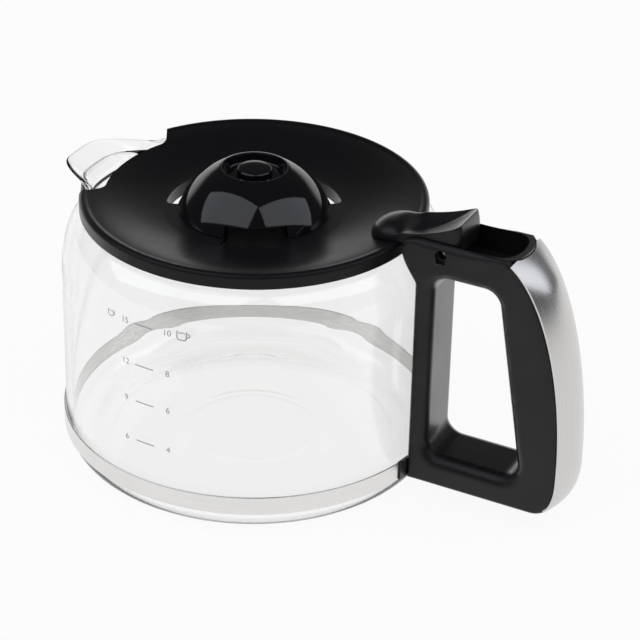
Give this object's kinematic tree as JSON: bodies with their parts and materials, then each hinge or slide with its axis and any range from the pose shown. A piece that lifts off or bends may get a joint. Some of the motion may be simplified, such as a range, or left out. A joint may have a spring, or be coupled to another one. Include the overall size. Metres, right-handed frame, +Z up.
{
  "type": "coffee carafe",
  "caption": "Glass coffee jug with a pouring spout, steel base band, black handle with a steel cover and a hinged black lid that a thumb lever lifts",
  "frame": {"origin": "middle of the jug's base, on the surface that it stands on", "axes": "+X runs to the handle and -X to the spout, +Z is up, and the XZ plane is the plane of symmetry"},
  "size_m": [0.2125, 0.1458, 0.1153],
  "materials": {
    "clear_glass": "clear polished glass",
    "band_steel": "satin steel strip",
    "cover_steel": "brushed along its length",
    "screw_steel": "plain screw steel",
    "black_plastic": "fine-grained black moulding",
    "lid_plastic": "satin black moulding",
    "gloss_plastic": "polished black moulding",
    "mark_ink": "printed cup marks on the glass, which only the finer model has"
  },
  "bodies": {
    "jug": {"glass_jug": "clear_glass", "base_band": "band_steel", "band_clamp": "black_plastic", "band_screw": "screw_steel", "handle_frame": "black_plastic", "handle_cover": "cover_steel", "cover_screw": "screw_steel", "hinge_pin": "screw_steel"},
    "lid": {"lid_dish": "lid_plastic", "lid_dome": "gloss_plastic", "thumb_lever": "lid_plastic", "lever_screw_left": "screw_steel", "lever_screw_right": "screw_steel"}
  },
  "joints": [
    {"name": "lid_hinge", "type": "hinge", "parent": "jug", "child": "lid", "pos_m": [0.082, 0, 0.1046], "axis": [0, 1, 0], "range_deg": [0, 75]}
  ]
}
